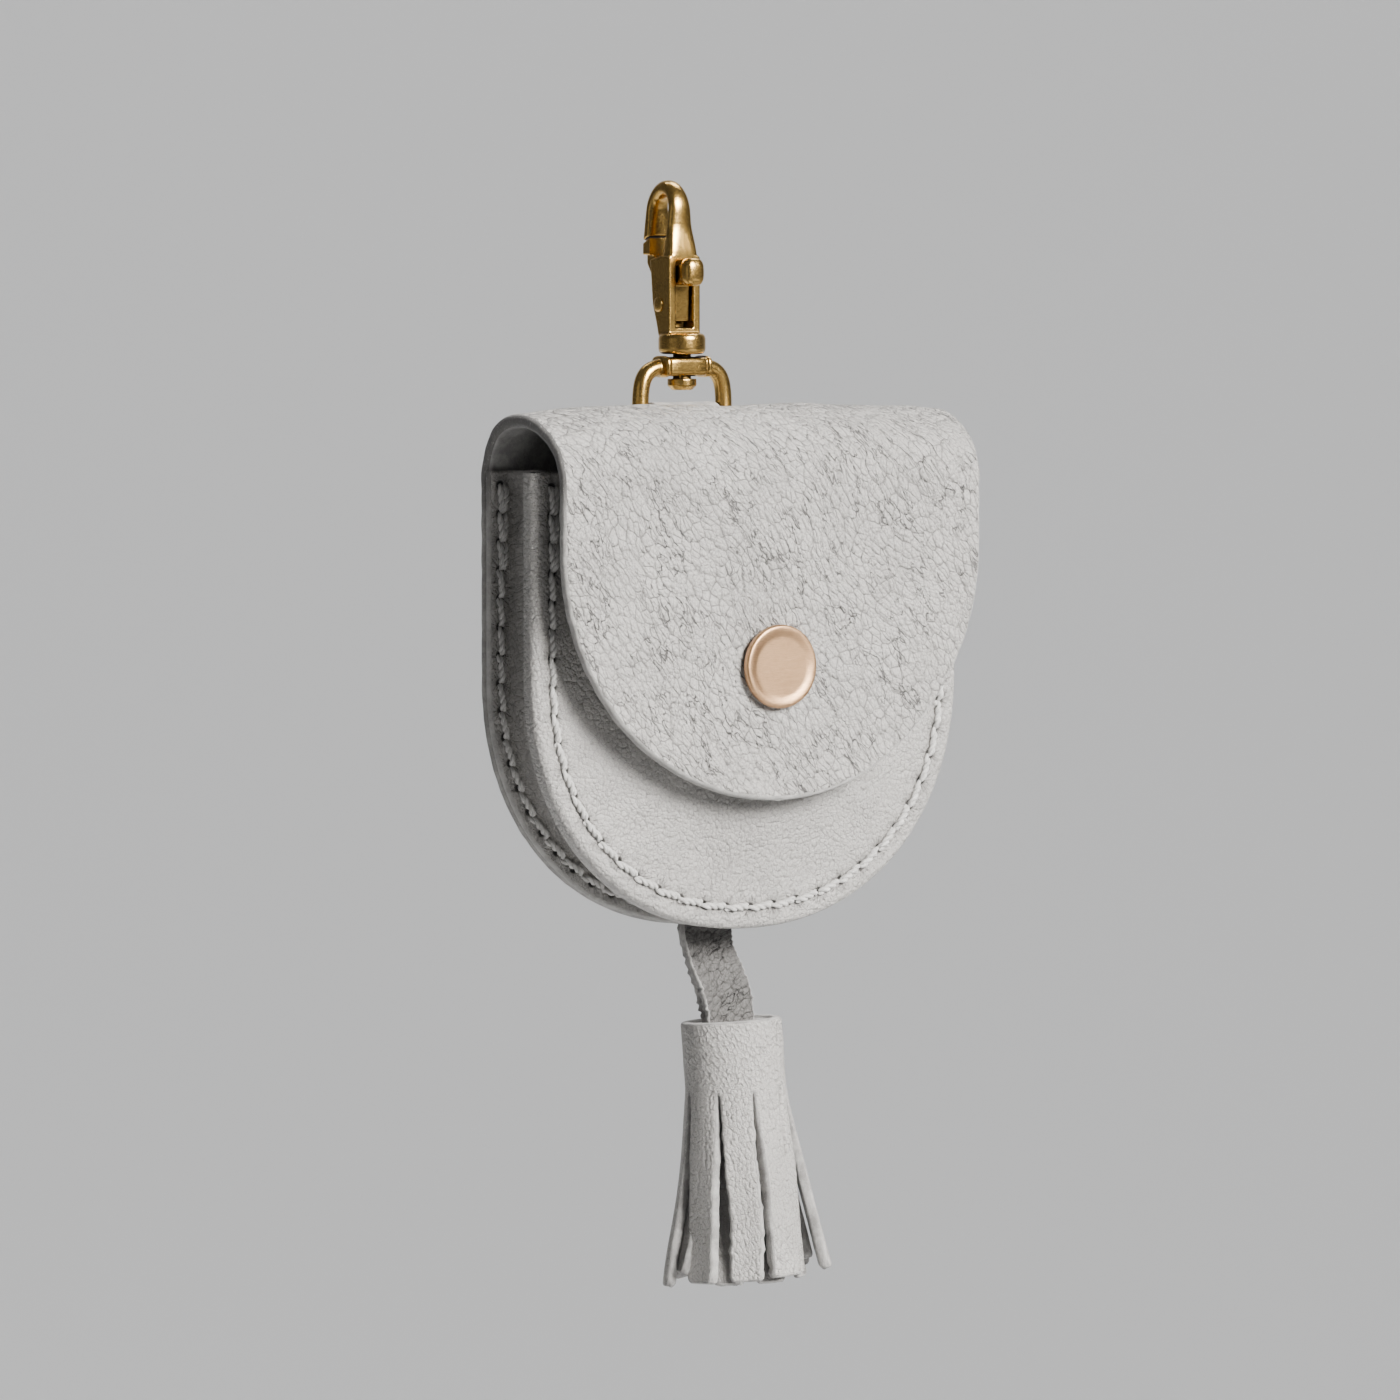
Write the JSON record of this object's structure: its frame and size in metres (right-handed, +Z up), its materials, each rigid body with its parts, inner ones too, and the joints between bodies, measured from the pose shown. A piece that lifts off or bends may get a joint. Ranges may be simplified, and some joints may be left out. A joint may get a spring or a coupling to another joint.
{
  "type": "leather pouch",
  "caption": "Small round-bottomed leather pouch with an arched snap flap, a gusset, a sprung swivel clasp on a back tab and a leather tassel on a strap below",
  "frame": {"origin": "The inside top of the clasp's claw, where the pouch hangs", "axes": "+Z up along the hanging pouch, -Y towards the front with the flap, +X to the wearer's right as the front is seen"},
  "size_m": [0.0776, 0.0357, 0.1696],
  "materials": {
    "pebbled_leather": "light warm grey full-grain leather with a large pebble grain and fuzzy raw edges",
    "panel_leather": "light warm grey leather with a finer, smoother grain",
    "gusset_leather": "light warm grey soft leather with fine wrinkles",
    "tassel_leather": "warm grey leather, strap with a marked pebble grain, strips with raw cut edges",
    "snap_metal": "brushed antique copper, satin",
    "clasp_metal": "antique brass, dark in the hollows and rubbed bright on the edges"
  },
  "bodies": {
    "hook": {"hook_body": "clasp_metal", "swivel_rivet": "clasp_metal", "gate_pin": "clasp_metal"},
    "gate": {"hook_gate": "clasp_metal"},
    "loop": {"swivel_loop": "clasp_metal"},
    "pouch": {"back_and_flap": "pebbled_leather", "front_panel": "panel_leather", "gusset": "gusset_leather", "keeper_tab": "pebbled_leather", "tassel_strap": "tassel_leather", "tassel": "tassel_leather", "snap_cap": "snap_metal", "snap_stud": "snap_metal"}
  },
  "joints": [
    {"name": "gate_hinge", "type": "hinge", "parent": "hook", "child": "gate", "pos_m": [0, -0.00165, -0.0165], "axis": [1, 0, 0], "range_deg": [0, 19], "stiffness_Nm_per_rad": 0.01, "springref_deg": -34.38},
    {"name": "swivel", "type": "hinge", "parent": "hook", "child": "loop", "pos_m": [0, -0.00385, -0.026], "axis": [0, 0, 1], "continuous": true},
    {"name": "loop_swing", "type": "hinge", "parent": "loop", "child": "pouch", "pos_m": [0, -0.00385, -0.0342], "axis": [1, 0, 0], "range_deg": [-40, 100]}
  ]
}
